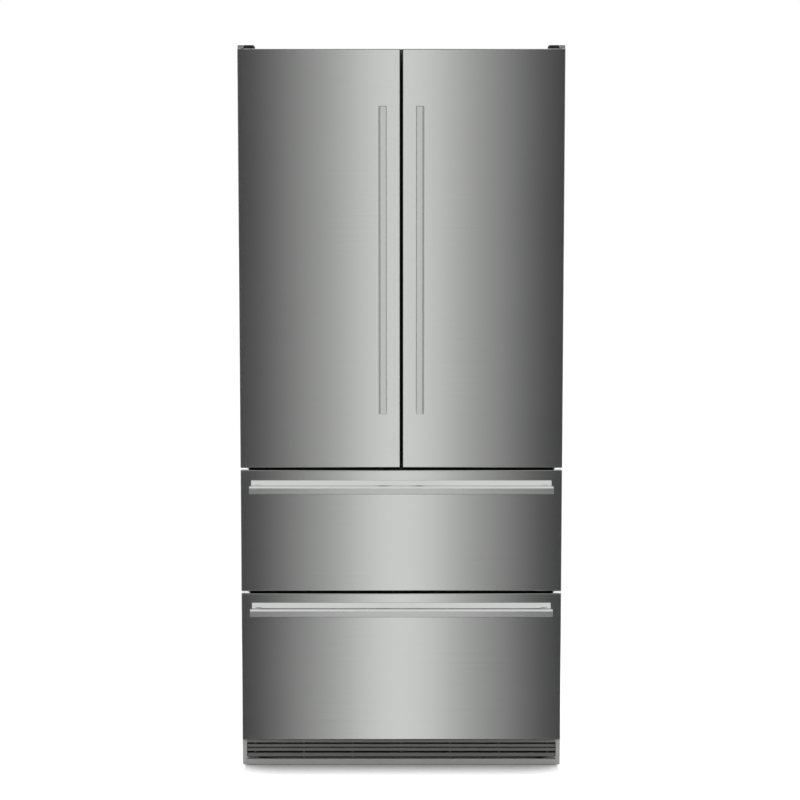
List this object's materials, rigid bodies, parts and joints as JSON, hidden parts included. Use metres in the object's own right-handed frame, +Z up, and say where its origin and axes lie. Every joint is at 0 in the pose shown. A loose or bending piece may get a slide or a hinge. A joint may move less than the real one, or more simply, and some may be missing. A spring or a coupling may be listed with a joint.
{
  "type": "french door refrigerator",
  "caption": "Tall french door refrigerator over two freezer drawers, with bar handles, hinged doors, sliding drawers, shelves, bins and a rear machine bay.",
  "frame": {"origin": "on the floor, at the middle of the footprint", "axes": "+Z up, -Y towards someone in front of the doors, +X to that person's right"},
  "size_m": [0.91, 0.68, 2.0495],
  "materials": {
    "stainless_panel": "satin, brushed",
    "handle_metal": "satin, finely brushed along the bar",
    "cabinet_paint": "fine textured paint",
    "plinth_grey": "satin",
    "grille_grey": "matte",
    "black_plastic": "fine grain",
    "bracket_metal": "plain rolled",
    "liner_white": "semi gloss",
    "inner_panel_white": "semi gloss",
    "foam": "raw foam",
    "gasket_grey": "matte",
    "clear_plastic": "clear, polished",
    "bin_white": "semi gloss",
    "shelf_glass": "clear, polished",
    "zinc_steel": "zinc plated",
    "compressor_black": "gloss enamel",
    "fan_plastic": "matte"
  },
  "bodies": {
    "cabinet": {"cabinet_wrap": "cabinet_paint", "back_panel": "cabinet_paint", "plinth_frame": "plinth_grey", "plinth_grille": "grille_grey", "centre_mullion": "black_plastic", "hinge_cap_left": "black_plastic", "hinge_cap_right": "black_plastic", "machine_cover": "black_plastic", "front_foot_left": "black_plastic", "front_foot_right": "black_plastic", "hinge_bracket_left": "bracket_metal", "hinge_bracket_right": "bracket_metal", "lower_hinge_left": "bracket_metal", "lower_hinge_right": "bracket_metal", "gap_plate_left": "bracket_metal", "gap_plate_right": "bracket_metal", "fridge_liner": "liner_white", "freezer_liner": "liner_white", "insulated_body": "foam", "crisper_left": "clear_plastic", "crisper_right": "clear_plastic", "shelf_upper": "shelf_glass", "shelf_middle": "shelf_glass", "crisper_shelf": "shelf_glass", "base_tray": "zinc_steel", "condenser": "zinc_steel", "upper_rail_left": "zinc_steel", "upper_rail_right": "zinc_steel", "lower_rail_left": "zinc_steel", "lower_rail_right": "zinc_steel", "compressor": "compressor_black"},
    "left_door": {"left_door_skin": "stainless_panel", "left_door_inner": "inner_panel_white", "left_door_gasket": "gasket_grey", "left_door_handle": "handle_metal", "left_door_bin_lower": "clear_plastic", "left_door_bin_upper": "clear_plastic"},
    "right_door": {"right_door_skin": "stainless_panel", "right_door_inner": "inner_panel_white", "right_door_gasket": "gasket_grey", "right_door_handle": "handle_metal", "right_door_bin_lower": "clear_plastic", "right_door_bin_upper": "clear_plastic"},
    "upper_drawer": {"upper_drawer_skin": "stainless_panel", "upper_drawer_inner": "inner_panel_white", "upper_drawer_gasket": "gasket_grey", "upper_drawer_handle": "handle_metal", "upper_drawer_bin": "bin_white", "upper_drawer_frame": "zinc_steel"},
    "lower_drawer": {"lower_drawer_skin": "stainless_panel", "lower_drawer_inner": "inner_panel_white", "lower_drawer_gasket": "gasket_grey", "lower_drawer_handle": "handle_metal", "lower_drawer_bin": "bin_white", "lower_drawer_frame": "zinc_steel"},
    "upper_slide": {"upper_mid_slide": "zinc_steel"},
    "lower_slide": {"lower_mid_slide": "zinc_steel"},
    "condenser_fan": {"fan_blade": "fan_plastic"},
    "left_roller": {"rear_roller_left": "black_plastic"},
    "right_roller": {"rear_roller_right": "black_plastic"}
  },
  "joints": [
    {"name": "left_door_hinge", "type": "hinge", "parent": "cabinet", "child": "left_door", "pos_m": [-0.444, -0.26, 1.452], "axis": [0, 0, -1], "range_deg": [0, 115]},
    {"name": "right_door_hinge", "type": "hinge", "parent": "cabinet", "child": "right_door", "pos_m": [0.444, -0.26, 1.452], "axis": [0, 0, 1], "range_deg": [0, 115]},
    {"name": "upper_drawer_slide", "type": "slide", "parent": "cabinet", "child": "upper_drawer", "axis": [0, -1, 0], "range_m": [0, 0.44]},
    {"name": "lower_drawer_slide", "type": "slide", "parent": "cabinet", "child": "lower_drawer", "axis": [0, -1, 0], "range_m": [0, 0.34]},
    {"name": "upper_mid_travel", "type": "slide", "parent": "cabinet", "child": "upper_slide", "axis": [0, -1, 0], "range_m": [0, 0.22]},
    {"name": "lower_mid_travel", "type": "slide", "parent": "cabinet", "child": "lower_slide", "axis": [0, -1, 0], "range_m": [0, 0.17]},
    {"name": "condenser_fan_spin", "type": "hinge", "parent": "cabinet", "child": "condenser_fan", "pos_m": [-0.06, 0.252, 0.125], "axis": [1, 0, 0], "continuous": true},
    {"name": "left_roller_spin", "type": "hinge", "parent": "cabinet", "child": "left_roller", "pos_m": [-0.4, 0.29, 0.0175], "axis": [1, 0, 0], "continuous": true},
    {"name": "right_roller_spin", "type": "hinge", "parent": "cabinet", "child": "right_roller", "pos_m": [0.4, 0.29, 0.0175], "axis": [1, 0, 0], "continuous": true}
  ],
  "couplings": [
    {"joint": "upper_mid_travel", "follows": "upper_drawer_slide", "ratio": 0.5},
    {"joint": "lower_mid_travel", "follows": "lower_drawer_slide", "ratio": 0.5}
  ]
}
